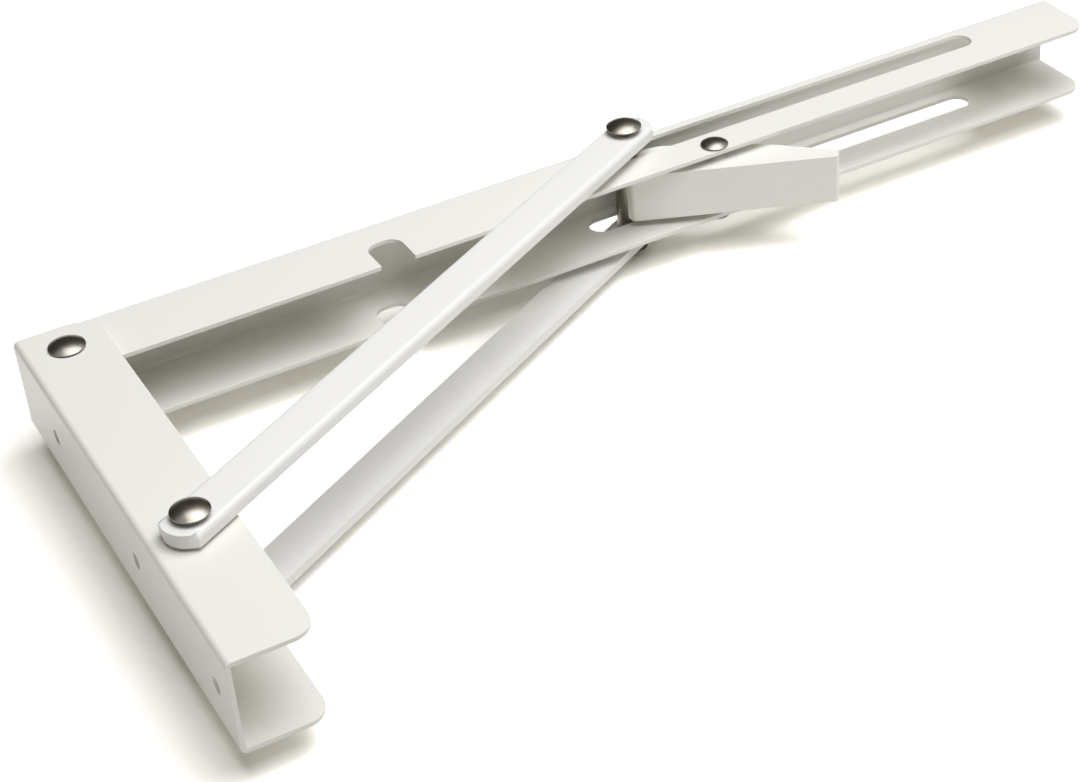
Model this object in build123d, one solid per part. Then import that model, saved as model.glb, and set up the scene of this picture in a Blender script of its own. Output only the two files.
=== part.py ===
"""Folding shelf bracket: a wall channel, a shelf arm that folds down over it, two braces and a release lever.

Frame, in millimetres: X = 0 is the wall, +X runs out along the shelf, Z = 0 is the underside of the
shelf and +Z is up.  Y = 0 is the plane of symmetry.  "Near" pieces lie on -Y, "far" pieces on +Y.
The bracket is drawn opened out and latched.
"""
from build123d import *
import math
import os

# ---------------------------------------------------------------- driving dimensions (mm, degrees)
# Wall channel: folded sheet, web on the wall, flanges standing out from it
WALL_WIDTH = 30.0
WALL_DEPTH = 25.5
WALL_SHEET = 1.5
WALL_BEND_RADIUS = 2.0
WALL_TOP_DROP = 4.5
WALL_LENGTH = 168.0
WALL_TOP_CORNER_RADIUS = 9.0
WALL_FOOT_CORNER_RADIUS = 7.0
WALL_SCREW_DROPS = (36.5, 103.5, 161.5)
WALL_SCREW_DIAMETER = 5.0

# Shelf arm: folded sheet, web under the shelf, flanges hanging down inside the wall channel
ARM_REACH = 380.5
ARM_DEPTH = 26.0
ARM_SHEET = 1.5
ARM_BEND_RADIUS = 2.5
ARM_SIDE_CLEARANCE = 1.0
ARM_END_CORNER_RADIUS = 7.0
SHELF_SCREW_START = 40.0
SHELF_SCREW_SPACING = 140.0
SHELF_SCREW_COUNT = 3
SHELF_SCREW_DIAMETER = 5.5

# Linkage
ARM_PIVOT_X = 13.0
ARM_PIVOT_DROP = 16.5
PIVOT_SPACING = 103.0
BRACE_SPAN = 222.0
SLOT_RISE = 7.25
SLOT_WIDTH = 9.0
SLOT_OVERTRAVEL = 10.2
NOTCH_WIDTH = 11.4
NOTCH_CLEARANCE = 1.0
NOTCH_CORNER_RADIUS = 4.5

# Braces: flat bars outside the wall channel
BRACE_WIDTH = 13.0
BRACE_THICKNESS = 4.2
BRACE_GAP = 1.2
BRACE_EDGE_CHAMFER = 0.7
BRACE_FOOT_OVERHANG = 8.5
BRACE_FOOT_CROWN = 3.0
BRACE_TIP_OFFSET = 4.6

# Rivets, sleeves and washers
RIVET_DIAMETER = 6.0
RIVET_HEAD_DIAMETER = 11.3
RIVET_HEAD_HEIGHT = 3.0
RIVET_HEAD_RIM = 0.9
RIVET_CROWN_BANDS = 1
RIVET_CROWN_FLAT_SHARE = 0.42
BRACE_PIVOT_HEAD_LIFT = 1.6
SLIDER_HEAD_LIFT = 2.1
SLIDER_SLEEVE_DIAMETER = 8.0
PIVOT_SLEEVE_DIAMETER = 9.0
SLEEVE_END_GAP = 0.1
WASHER_DIAMETER = 11.0
RUNNING_CLEARANCE = 0.05

# Release lever: one plastic moulding on its own pin inside the arm
LEVER_PIN_SETBACK = 26.3
LEVER_PIN_DROP = 12.25
LEVER_PIN_DIAMETER = 5.0
LEVER_HEAD_DIAMETER = 9.0
LEVER_HEAD_HEIGHT = 2.5
LEVER_WIDTH = 16.8
LEVER_NOSE_REACH = 29.2
LEVER_TAIL_REACH = 32.3
LEVER_FACE_SLOPE = 24.2
LEVER_FACE_OFFSET = 8.15
LEVER_TAIL_THICKNESS = 3.9
LEVER_TAIL_END_SLOPE = 52.3
LEVER_BACK_REACH = 16.3
LEVER_BACK_DROP = 1.7
LEVER_BACK_SLOPE = 32.8
LEVER_EDGE_RADIUS = 1.0
LEVER_SADDLE_CLEARANCE = 0.3
LEVER_BOSS_DIAMETER = 7.0
LEVER_BOSS_END_GAP = 0.2

# Torsion spring round the lever's far boss
SPRING_WIRE = 0.8
SPRING_WIRE_SIDE_COUNT = 4
SPRING_TURN_COUNT = 2
SPRING_PITCH = 0.86
SPRING_BORE_CLEARANCE = 0.25
SPRING_BOSS_DIAMETER = 6.6
SPRING_TANG_DIAMETER = 0.6
SPRING_TANG_LENGTH = 3.0
SPRING_TANG_END_GAP = 0.1
SPRING_HOLE_DIAMETER = 1.0

# ---------------------------------------------------------------- derived places
ARM_WIDTH = WALL_WIDTH - 2 * (WALL_SHEET + ARM_SIDE_CLEARANCE)
ARM_INNER_HALF = ARM_WIDTH / 2 - ARM_SHEET
ARM_PIVOT = (ARM_PIVOT_X, -ARM_PIVOT_DROP)
BRACE_PIVOT = (ARM_PIVOT_X, -ARM_PIVOT_DROP - PIVOT_SPACING)
SLOT_Z = -ARM_PIVOT_DROP + SLOT_RISE
LATCHED_TRAVEL = math.sqrt(BRACE_SPAN**2 - (PIVOT_SPACING + SLOT_RISE) ** 2)
FOLDED_TRAVEL = PIVOT_SPACING + math.sqrt(BRACE_SPAN**2 - SLOT_RISE**2)
SLIDER = (ARM_PIVOT_X + LATCHED_TRAVEL, SLOT_Z)
SLOT_START_X = SLIDER[0] - SLOT_OVERTRAVEL
SLOT_END_X = ARM_PIVOT_X + FOLDED_TRAVEL
NOTCH_X = ARM_PIVOT_X + PIVOT_SPACING
NOTCH_TOP_Z = -ARM_PIVOT_DROP + RIVET_DIAMETER / 2 + NOTCH_CLEARANCE
BRACE_ANGLE = math.degrees(math.atan2(SLIDER[1] - BRACE_PIVOT[1], SLIDER[0] - BRACE_PIVOT[0]))
BRACE_INNER_Y = WALL_WIDTH / 2 + BRACE_GAP
BRACE_OUTER_Y = BRACE_INNER_Y + BRACE_THICKNESS
LEVER_PIVOT = (SLIDER[0] + LEVER_PIN_SETBACK, SLOT_Z - LEVER_PIN_DROP)
SADDLE_HEIGHT = LEVER_PIN_DROP - SLIDER_SLEEVE_DIAMETER / 2 - LEVER_SADDLE_CLEARANCE
SPRING_RADIUS = SPRING_BOSS_DIAMETER / 2 + SPRING_BORE_CLEARANCE + SPRING_WIRE / 2
SIDES = {"near": -1, "far": 1}


# ---------------------------------------------------------------- shared shapes
def cross_pin(place, diameter, y_start, y_end):
    """A cylinder along Y through (x, z) = place, from y_start to y_end."""
    middle = Pos(place[0], (y_start + y_end) / 2, place[1])
    return middle * Rot(90, 0, 0) * Cylinder(diameter / 2, abs(y_end - y_start))


def cross_tube(place, outer, bore, y_start, y_end):
    """A tube along Y through (x, z) = place."""
    return cross_pin(place, outer, y_start, y_end) - cross_pin(place, bore, y_start, y_end)


def domed_head(place, side, seat_y, diameter, height, rim):
    """A rivet head on the face at |y| = seat_y: a straight rim, then a crown of cone bands round a flat."""
    radius = diameter / 2
    crown = height - rim
    sphere = (radius**2 + crown**2) / (2 * crown)
    steps = [(0, 0), (radius, 0)]
    for band in range(RIVET_CROWN_BANDS, 0, -1):
        angle = math.asin(radius / sphere) * band / RIVET_CROWN_BANDS
        steps.append((sphere * math.sin(angle), height - sphere * (1 - math.cos(angle))))
    steps.append((RIVET_CROWN_FLAT_SHARE * radius, height))
    steps.append((0, height))
    head = revolve(Plane.XZ * make_face(Polyline(*steps, close=True)), Axis.Z)
    return Pos(place[0], side * seat_y, place[1]) * Rot(-90 * side, 0, 0) * head


def through_rivet(place, diameter, seat_y, head_diameter, head_height, rim):
    """A straight shank with a domed head formed on each end, closed on the faces at |y| = seat_y."""
    rivet = cross_pin(place, diameter, -seat_y, seat_y)
    for side in SIDES.values():
        rivet += domed_head(place, side, seat_y, head_diameter, head_height, rim)
    return rivet


def channel(plane, width, depth, length, sheet, bend_radius):
    """A folded U channel: the section lies in plane, web on its local x axis, and runs along its normal."""
    outer = Pos(0, depth / 2) * Rectangle(width, depth)
    outer = fillet(outer.vertices().group_by(Axis.Y)[0], bend_radius)
    inner = Pos(0, sheet + depth / 2) * Rectangle(width - 2 * sheet, depth)
    inner = fillet(inner.vertices().group_by(Axis.Y)[0], bend_radius - sheet)
    return extrude(plane * (outer - inner), length)


def side_plate(outline, half_width):
    """An X-Z outline thickened to both sides of Y = 0."""
    return extrude(Plane.XZ * outline, half_width, both=True)


def drilled(solid, places, diameter, half_width):
    """The solid with a hole along Y at each (x, z) place."""
    for place in places:
        solid -= cross_pin(place, diameter, -half_width, half_width)
    return solid


# ---------------------------------------------------------------- channels
def make_wall_channel():
    """Wall channel: rounded flange corners, two pivot holes across it and three screw holes in the web."""
    plane = Plane(origin=(0, 0, -WALL_TOP_DROP), x_dir=(0, 1, 0), z_dir=(0, 0, -1))
    body = channel(plane, WALL_WIDTH, WALL_DEPTH, WALL_LENGTH, WALL_SHEET, WALL_BEND_RADIUS)
    middle_z = -WALL_TOP_DROP - WALL_LENGTH / 2
    outline = Pos(WALL_DEPTH / 2, middle_z) * Rectangle(WALL_DEPTH, WALL_LENGTH)
    free_corners = outline.vertices().group_by(Axis.X)[-1].sort_by(Axis.Y)
    outline = fillet(free_corners[0], WALL_FOOT_CORNER_RADIUS)
    free_corners = outline.vertices().group_by(Axis.Y)[-1].sort_by(Axis.X)
    outline = fillet(free_corners[-1], WALL_TOP_CORNER_RADIUS)
    body &= side_plate(outline, WALL_WIDTH)
    body = drilled(body, (ARM_PIVOT, BRACE_PIVOT), RIVET_DIAMETER + 2 * RUNNING_CLEARANCE, WALL_WIDTH)
    for drop in WALL_SCREW_DROPS:
        body -= Pos(0, 0, -drop) * Rot(0, 90, 0) * Cylinder(WALL_SCREW_DIAMETER / 2, 4 * WALL_SHEET)
    return body


def slot_outline():
    """The long slot that the slider sleeve runs in, round at both ends."""
    length = SLOT_END_X - SLOT_START_X
    middle = Pos((SLOT_START_X + SLOT_END_X) / 2, SLOT_Z)
    return middle * SlotCenterToCenter(length, SLOT_WIDTH)


def notch_outline():
    """The round-cornered gap in the flanges that clears the brace pivot when the arm hangs folded."""
    height = ARM_DEPTH + NOTCH_TOP_Z
    notch = Pos(NOTCH_X, NOTCH_TOP_Z - height) * Rectangle(NOTCH_WIDTH, 2 * height)
    return fillet(notch.vertices().group_by(Axis.Y)[-1], NOTCH_CORNER_RADIUS)


def make_arm_channel():
    """Shelf arm: its wall end is round about the pivot, so that it swings clear of the wall channel's web."""
    pivot_end_radius = ARM_DEPTH - ARM_PIVOT_DROP
    start_x = ARM_PIVOT_X - pivot_end_radius
    length = ARM_REACH - start_x
    plane = Plane(origin=(ARM_REACH, 0, 0), x_dir=(0, 1, 0), z_dir=(-1, 0, 0))
    body = channel(plane, ARM_WIDTH, ARM_DEPTH, length, ARM_SHEET, ARM_BEND_RADIUS)
    outline = Pos(start_x + length / 2, -ARM_DEPTH / 2) * Rectangle(length, ARM_DEPTH)
    free_corners = outline.vertices().group_by(Axis.Y)[0].sort_by(Axis.X)
    outline = fillet(free_corners[0], pivot_end_radius)
    free_corners = outline.vertices().group_by(Axis.X)[-1].sort_by(Axis.Y)
    outline = fillet(free_corners[0], ARM_END_CORNER_RADIUS)
    body &= side_plate(outline, WALL_WIDTH)
    body -= side_plate(slot_outline(), WALL_WIDTH)
    body -= side_plate(notch_outline(), WALL_WIDTH)
    body = drilled(body, (ARM_PIVOT,), RIVET_DIAMETER + 2 * RUNNING_CLEARANCE, WALL_WIDTH)
    body = drilled(body, (LEVER_PIVOT,), LEVER_PIN_DIAMETER + 2 * RUNNING_CLEARANCE, WALL_WIDTH)
    body -= cross_pin(spring_tang_place(), SPRING_HOLE_DIAMETER, ARM_INNER_HALF / 2, WALL_WIDTH)
    for index in range(SHELF_SCREW_COUNT):
        hole_x = SHELF_SCREW_START + index * SHELF_SCREW_SPACING
        body -= Pos(hole_x, 0, 0) * Cylinder(SHELF_SCREW_DIAMETER / 2, 4 * ARM_SHEET)
    return body


# ---------------------------------------------------------------- braces
def make_brace(side):
    """A flat bar from the wall pivot to the slider: a full round tip, a shallow arc at its foot."""
    half = BRACE_WIDTH / 2
    tip_x = BRACE_SPAN + BRACE_TIP_OFFSET
    shoulder_x = BRACE_FOOT_CROWN - BRACE_FOOT_OVERHANG
    edges = (Line((shoulder_x, half), (tip_x, half))
             + ThreePointArc((tip_x, half), (tip_x + half, 0), (tip_x, -half))
             + Line((tip_x, -half), (shoulder_x, -half))
             + ThreePointArc((shoulder_x, -half), (-BRACE_FOOT_OVERHANG, 0), (shoulder_x, half)))
    bar = extrude(make_face(edges), BRACE_THICKNESS / 2, both=True)
    rims = bar.edges().group_by(Axis.Z)
    bar = chamfer(rims[0] + rims[-1], BRACE_EDGE_CHAMFER)
    for hole_x in (0, BRACE_SPAN):
        bar -= Pos(hole_x, 0, 0) * Cylinder(RIVET_DIAMETER / 2 + RUNNING_CLEARANCE, 2 * BRACE_THICKNESS)
    middle_y = side * (BRACE_INNER_Y + BRACE_THICKNESS / 2)
    place = Pos(BRACE_PIVOT[0], middle_y, BRACE_PIVOT[1])
    return place * Rot(0, -BRACE_ANGLE, 0) * Rot(90, 0, 0) * bar


# ---------------------------------------------------------------- slider
def make_slider_head(side):
    """The outer end of the slider rivet: a stub through the brace and a domed head on a deeper rim."""
    head = domed_head(SLIDER, side, BRACE_OUTER_Y, RIVET_HEAD_DIAMETER,
                      RIVET_HEAD_HEIGHT + SLIDER_HEAD_LIFT, RIVET_HEAD_RIM + SLIDER_HEAD_LIFT)
    return head + cross_pin(SLIDER, RIVET_DIAMETER, side * BRACE_INNER_Y, side * BRACE_OUTER_Y)


# ---------------------------------------------------------------- release lever
def lever_outline():
    """The lever's side view about its pin: flat finger face below, sloping back, saddle under the sleeve."""
    slope = math.radians(LEVER_FACE_SLOPE)
    face_at_pin = -LEVER_FACE_OFFSET / math.cos(slope)
    nose_foot = (-LEVER_NOSE_REACH, face_at_pin + LEVER_NOSE_REACH * math.tan(slope))
    tail_foot = (LEVER_TAIL_REACH, face_at_pin - LEVER_TAIL_REACH * math.tan(slope))
    tail_end = math.radians(LEVER_TAIL_END_SLOPE)
    tail_top = (tail_foot[0] + LEVER_TAIL_THICKNESS * math.cos(tail_end),
                tail_foot[1] + LEVER_TAIL_THICKNESS * math.sin(tail_end))
    back = (LEVER_BACK_REACH, -LEVER_BACK_DROP)
    rise = SADDLE_HEIGHT + LEVER_BACK_DROP
    saddle_end = (LEVER_BACK_REACH - rise / math.tan(math.radians(LEVER_BACK_SLOPE)), SADDLE_HEIGHT)
    nose_top = (-LEVER_NOSE_REACH, SADDLE_HEIGHT)
    return make_face(Polyline(nose_foot, tail_foot, tail_top, back, saddle_end, nose_top, close=True))


def make_release_lever():
    """Plastic lever with a boss on each side of its bore; the far boss is thinner and carries the spring."""
    blank = Pos(LEVER_PIVOT[0], 0, LEVER_PIVOT[1]) * side_plate(lever_outline(), LEVER_WIDTH / 2)
    rims = blank.edges().group_by(Axis.Y)
    lever = fillet(rims[0] + rims[-1], LEVER_EDGE_RADIUS)
    boss_end = ARM_INNER_HALF - LEVER_BOSS_END_GAP
    lever += cross_pin(LEVER_PIVOT, LEVER_BOSS_DIAMETER, -boss_end, 0)
    lever += cross_pin(LEVER_PIVOT, SPRING_BOSS_DIAMETER, 0, boss_end)
    hole_depth = SPRING_TANG_LENGTH + SPRING_HOLE_DIAMETER
    hole_start = LEVER_WIDTH / 2 - hole_depth
    lever -= cross_pin(spring_tang_place(), SPRING_HOLE_DIAMETER, hole_start, ARM_INNER_HALF)
    return drilled(lever, (LEVER_PIVOT,), LEVER_PIN_DIAMETER + 2 * RUNNING_CLEARANCE, WALL_WIDTH)


def spring_tang_place():
    """(x, z) of both spring ends, straight above the lever's pin on the coil's middle line."""
    return LEVER_PIVOT[0], LEVER_PIVOT[1] + SPRING_RADIUS


def make_lever_spring():
    """Torsion spring round the far boss: one end turned into the lever, one into the arm's flange."""
    coil_height = SPRING_TURN_COUNT * SPRING_PITCH
    inner_y = (LEVER_WIDTH / 2 + ARM_INNER_HALF - coil_height) / 2
    outer_y = inner_y + coil_height
    helix = Helix(SPRING_PITCH, coil_height, SPRING_RADIUS)
    section = Plane(origin=helix @ 0, z_dir=helix % 0) * RegularPolygon(SPRING_WIRE / 2, SPRING_WIRE_SIDE_COUNT)
    # The helix starts beside the lever, straight above the pin, and climbs towards the far flange.
    spring = sweep(section, path=helix, is_frenet=True)
    spring = Pos(LEVER_PIVOT[0], inner_y, LEVER_PIVOT[1]) * Rot(-90, 0, -90) * spring
    tang_end = ARM_WIDTH / 2 - SPRING_TANG_END_GAP
    spring += cross_pin(spring_tang_place(), SPRING_TANG_DIAMETER, outer_y, tang_end)
    tang_start = inner_y - SPRING_TANG_LENGTH
    return spring + cross_pin(spring_tang_place(), SPRING_TANG_DIAMETER, tang_start, inner_y)


def build_parts():
    """Every sub-part of the bracket by its node name."""
    rivet_bore = RIVET_DIAMETER + 2 * RUNNING_CLEARANCE
    wall_half = WALL_WIDTH / 2
    parts = {
        "wall_channel": make_wall_channel(),
        "arm_channel": make_arm_channel(),
        "arm_pivot_rivet": through_rivet(ARM_PIVOT, RIVET_DIAMETER, wall_half, RIVET_HEAD_DIAMETER,
                                         RIVET_HEAD_HEIGHT, RIVET_HEAD_RIM),
        "arm_pivot_sleeve": cross_tube(ARM_PIVOT, PIVOT_SLEEVE_DIAMETER, rivet_bore,
                                       SLEEVE_END_GAP - ARM_INNER_HALF, ARM_INNER_HALF - SLEEVE_END_GAP),
        "brace_pivot_rivet": through_rivet(BRACE_PIVOT, RIVET_DIAMETER, BRACE_OUTER_Y, RIVET_HEAD_DIAMETER,
                                           RIVET_HEAD_HEIGHT + BRACE_PIVOT_HEAD_LIFT,
                                           RIVET_HEAD_RIM + BRACE_PIVOT_HEAD_LIFT),
        "slider_sleeve": cross_tube(SLIDER, SLIDER_SLEEVE_DIAMETER, rivet_bore,
                                    -BRACE_INNER_Y, BRACE_INNER_Y),
        "slider_rivet_shank": cross_pin(SLIDER, RIVET_DIAMETER, -BRACE_INNER_Y, BRACE_INNER_Y),
        "release_lever": make_release_lever(),
        "lever_pivot_rivet": through_rivet(LEVER_PIVOT, LEVER_PIN_DIAMETER, ARM_WIDTH / 2,
                                           LEVER_HEAD_DIAMETER, LEVER_HEAD_HEIGHT, RIVET_HEAD_RIM),
        "lever_spring": make_lever_spring(),
    }
    for name, side in SIDES.items():
        parts[f"brace_{name}"] = make_brace(side)
        parts[f"brace_pivot_washer_{name}"] = cross_tube(BRACE_PIVOT, WASHER_DIAMETER, rivet_bore,
                                                         side * wall_half, side * BRACE_INNER_Y)
        parts[f"slider_rivet_head_{name}"] = make_slider_head(side)
    return parts


os.makedirs("parts", exist_ok=True)
for node, solid in build_parts().items():
    export_step(solid, os.path.join("parts", f"{node}.step"))
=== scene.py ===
"""Studio scene of a folding shelf bracket: two folded steel channels, two braces, rivets and a release lever.

Every length below is in metres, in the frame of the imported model: X = 0 is the wall, +X runs out along the
shelf, Z = 0 is the underside of the shelf and Y = 0 is the bracket's middle plane.
"""

import logging
import math
from dataclasses import dataclass, field
from enum import Enum
from typing import Callable, Optional, Sequence, Union

import bmesh
import bpy
from mathutils import Matrix, Vector


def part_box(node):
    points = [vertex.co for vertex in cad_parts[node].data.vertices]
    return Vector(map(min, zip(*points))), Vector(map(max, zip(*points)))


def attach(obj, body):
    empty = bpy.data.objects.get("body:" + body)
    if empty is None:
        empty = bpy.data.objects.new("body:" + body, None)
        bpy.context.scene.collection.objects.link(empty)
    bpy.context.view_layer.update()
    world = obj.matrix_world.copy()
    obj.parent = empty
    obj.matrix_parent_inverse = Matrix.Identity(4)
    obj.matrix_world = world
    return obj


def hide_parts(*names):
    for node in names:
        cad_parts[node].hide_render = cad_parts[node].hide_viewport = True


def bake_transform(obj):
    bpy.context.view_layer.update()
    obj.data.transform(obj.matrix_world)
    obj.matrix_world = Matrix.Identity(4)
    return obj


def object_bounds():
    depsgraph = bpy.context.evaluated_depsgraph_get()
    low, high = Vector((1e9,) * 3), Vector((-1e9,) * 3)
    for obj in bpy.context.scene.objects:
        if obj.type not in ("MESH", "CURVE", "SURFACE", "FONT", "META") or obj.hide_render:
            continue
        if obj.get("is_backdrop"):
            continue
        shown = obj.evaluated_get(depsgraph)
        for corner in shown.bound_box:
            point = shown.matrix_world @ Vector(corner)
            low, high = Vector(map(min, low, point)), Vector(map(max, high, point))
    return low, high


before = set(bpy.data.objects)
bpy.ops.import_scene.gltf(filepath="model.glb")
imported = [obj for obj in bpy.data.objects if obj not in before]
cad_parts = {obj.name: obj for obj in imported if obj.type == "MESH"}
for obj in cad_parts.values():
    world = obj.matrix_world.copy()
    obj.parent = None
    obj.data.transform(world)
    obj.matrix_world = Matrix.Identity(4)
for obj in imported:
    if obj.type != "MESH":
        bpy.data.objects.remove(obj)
LOG = logging.getLogger("bracket")
MM = 0.001
Point = tuple[float, float, float]
Colour = tuple[float, float, float]
Owner = Union[bpy.types.Material, bpy.types.World]


class Body(Enum):
    """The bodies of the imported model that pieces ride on."""

    WALL = "wall"
    ARM = "arm"
    BRACES = "braces"
    SLIDER = "slider"
    LEVER = "lever"


class Side(Enum):
    """Which side of the middle plane a piece lies on."""

    NEAR = -1
    FAR = 1

    @property
    def word(self) -> str:
        """The side as nodes and pieces name it."""
        return self.name.lower()


# ---------------------------------------------------------------- shader maths
class Signal:
    """A shader value: one output socket, on which Python arithmetic adds Math nodes."""

    def __init__(self, shader: "Shader", socket: bpy.types.NodeSocket) -> None:
        """Wraps one output socket of one shader."""
        self.shader = shader
        self.socket = socket

    def _maths(self, operation: str, first: "Value", second: "Value") -> "Signal":
        """The result of a new Math node on two operands."""
        return self.shader.node("ShaderNodeMath", {"operation": operation}, {0: first, 1: second})

    def __add__(self, other: "Value") -> "Signal":
        """self + other."""
        return self._maths("ADD", self, other)

    def __radd__(self, other: "Value") -> "Signal":
        """other + self."""
        return self._maths("ADD", other, self)

    def __sub__(self, other: "Value") -> "Signal":
        """self - other."""
        return self._maths("SUBTRACT", self, other)

    def __rsub__(self, other: "Value") -> "Signal":
        """other - self."""
        return self._maths("SUBTRACT", other, self)

    def __mul__(self, other: "Value") -> "Signal":
        """self * other."""
        return self._maths("MULTIPLY", self, other)

    def __rmul__(self, other: "Value") -> "Signal":
        """other * self."""
        return self._maths("MULTIPLY", other, self)

    def maximum(self, other: "Value") -> "Signal":
        """The larger of self and other."""
        return self._maths("MAXIMUM", self, other)


Value = Union[Signal, float, Sequence[float]]


class Shader:
    """The node tree of a new material or world, built through one node-making method."""

    def __init__(self, owner: Owner, output: str) -> None:
        """Empties the owner's node tree and adds its output.

        Args:
            owner: the new material or world.
            output: the output node's type.
        """
        owner.use_nodes = True
        self.owner = owner
        self.tree = owner.node_tree
        self.tree.nodes.clear()
        self.output = self.tree.nodes.new(output)

    @classmethod
    def of_material(cls, name: str) -> "Shader":
        """The shader of a new material."""
        return cls(bpy.data.materials.new(name), "ShaderNodeOutputMaterial")

    @classmethod
    def of_world(cls, name: str) -> "Shader":
        """The shader of a new world."""
        return cls(bpy.data.worlds.new(name), "ShaderNodeOutputWorld")

    def node(self, kind: str, settings: dict, sockets: dict, output: Union[int, str] = 0) -> Signal:
        """Adds one node.

        Args:
            kind: the node's type.
            settings: attributes to set before the sockets; "stops" sets a ramp's (position, colour) pairs.
            sockets: values or signals by socket name or index.
            output: the output to return.
        Returns:
            The chosen output as a Signal.
        """
        made = self.tree.nodes.new(kind)
        for name, setting in settings.items():
            if name == "stops":
                self._set_stops(made.color_ramp, setting)
            else:
                setattr(made, name, setting)
        for key, value in sockets.items():
            self._feed(made.inputs[key], value)
        return Signal(self, made.outputs[output])

    def _feed(self, socket: bpy.types.NodeSocket, value: Value) -> None:
        """Links a signal to a socket, or sets the socket's own value.

        Args:
            socket: the input.
            value: the signal or the value.
        """
        if isinstance(value, Signal):
            self.tree.links.new(value.socket, socket)
        else:
            socket.default_value = value

    @staticmethod
    def _set_stops(ramp: bpy.types.ColorRamp, stops: Sequence[tuple[float, Colour]]) -> None:
        """Gives a colour ramp its stops.

        Args:
            ramp: a new ramp, which has two.
            stops: position and colour of each, two or more.
        """
        while len(ramp.elements) < len(stops):
            ramp.elements.new(0.5)
        for element, (position, colour) in zip(ramp.elements, stops):
            element.position = position
            element.color = rgba(colour)

    def noise(self, scale: float, detail: float = 2.0, stretch: Point = (1.0, 1.0, 1.0)) -> Signal:
        """Cloud noise from 0 to 1 on the object's own coordinates.

        Args:
            scale: features per metre.
            detail: octaves.
            stretch: scale of each axis before the noise is taken.
        Returns:
            The noise value.
        """
        place = self.node("ShaderNodeTexCoord", {}, {}, "Object")
        point = self.node("ShaderNodeMapping", {}, {"Vector": place, "Scale": stretch})
        return self.node("ShaderNodeTexNoise", {}, {"Vector": point, "Scale": scale, "Detail": detail})

    def mix(self, factor: Signal, first: Value, second: Value) -> Signal:
        """A colour mix: factor 0 gives first, 1 gives second."""
        return self.node("ShaderNodeMix", {"data_type": "RGBA"}, {0: factor, 6: first, 7: second}, 2)

    def seen(self) -> Signal:
        """1 for what the camera, mirrors and glass see, 0 for all other light."""
        camera, mirror, glass = (self.node("ShaderNodeLightPath", {}, {}, f"Is {ray} Ray")
                                 for ray in ("Camera", "Glossy", "Transmission"))
        return camera.maximum(mirror).maximum(glass)

    def finish(self, surface: Signal) -> Owner:
        """Links the surface to the output and returns the material or world."""
        self.tree.links.new(surface.socket, self.output.inputs["Surface"])
        return self.owner


def rgba(colour: Colour, gain: float = 1.0) -> tuple[float, float, float, float]:
    """A colour as four numbers, each channel times gain."""
    return (colour[0] * gain, colour[1] * gain, colour[2] * gain, 1.0)


# ---------------------------------------------------------------- finishes
@dataclass(frozen=True)
class Finish:
    """What all finishes share.

    Attributes:
        slot: the record's material slot.
        colour: the middle colour.
        roughness: the middle roughness.
        tones: gains of the darkest and the lightest tone.
        relief: height of the fine bumps.
        strength: how strongly they show.
    """

    slot: str
    colour: Colour
    roughness: float
    tones: tuple[float, float]
    relief: float
    strength: float

    def tone(self, shader: Shader, mask: Signal) -> Signal:
        """The colour, from its darkest tone where mask is 0 to its lightest where it is 1."""
        dark, light = (rgba(self.colour, gain) for gain in self.tones)
        return shader.mix(mask, dark, light)

    def bump(self, shader: Shader, height: Signal) -> Signal:
        """The normal, tilted by fine bumps."""
        return shader.node("ShaderNodeBump", {}, {"Strength": self.strength, "Distance": self.relief,
                                                  "Height": height})

    def sockets(self, shader: Shader) -> dict[str, Value]:
        """The surface's sockets, which each finish gives."""
        raise NotImplementedError

    def build(self) -> bpy.types.Material:
        """Makes the material."""
        shader = Shader.of_material(self.slot + "_finish")
        return shader.finish(shader.node("ShaderNodeBsdfPrincipled", {}, self.sockets(shader)))


@dataclass(frozen=True)
class PowderCoat(Finish):
    """Baked powder paint: a faint orange-peel skin, slightly uneven gloss, thin tone clouds."""

    roughness: float = 0.32
    tones: tuple[float, float] = (0.985, 1.01)
    relief: float = 0.02 * MM
    strength: float = 0.35

    def sockets(self, shader: Shader) -> dict[str, Value]:
        """The paint's sockets.

        Args:
            shader: the shader that gets the nodes.
        Returns:
            Values and signals by socket name.
        """
        clouds, grains, skin = shader.noise(14.0, 3.0), shader.noise(1500.0), shader.noise(420.0)
        return {
            "Base Color": self.tone(shader, clouds), "Normal": self.bump(shader, skin + 0.25 * grains),
            "Roughness": self.roughness + 0.08 * (clouds - 0.5) + 0.05 * (grains - 0.5),
            "IOR": 1.5, "Specular IOR Level": 0.25, "Coat Weight": 0.2, "Coat Roughness": 0.07}


@dataclass(frozen=True)
class DarkNickel(Finish):
    """Dark nickel plate with faint turning marks and a duller, uneven tarnish."""

    roughness: float = 0.27
    tones: tuple[float, float] = (0.82, 1.15)
    relief: float = 0.01 * MM
    strength: float = 0.2

    def sockets(self, shader: Shader) -> dict[str, Value]:
        """The plate's sockets.

        Args:
            shader: the shader that gets the nodes.
        Returns:
            Values and signals by socket name.
        """
        tarnish, marks = shader.noise(260.0, 3.0), shader.noise(2600.0, stretch=(1.0, 0.25, 1.0))
        return {
            "Base Color": self.tone(shader, tarnish), "Metallic": 1.0, "Normal": self.bump(shader, marks),
            "Roughness": self.roughness + 0.14 * (tarnish - 0.4)}


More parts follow.
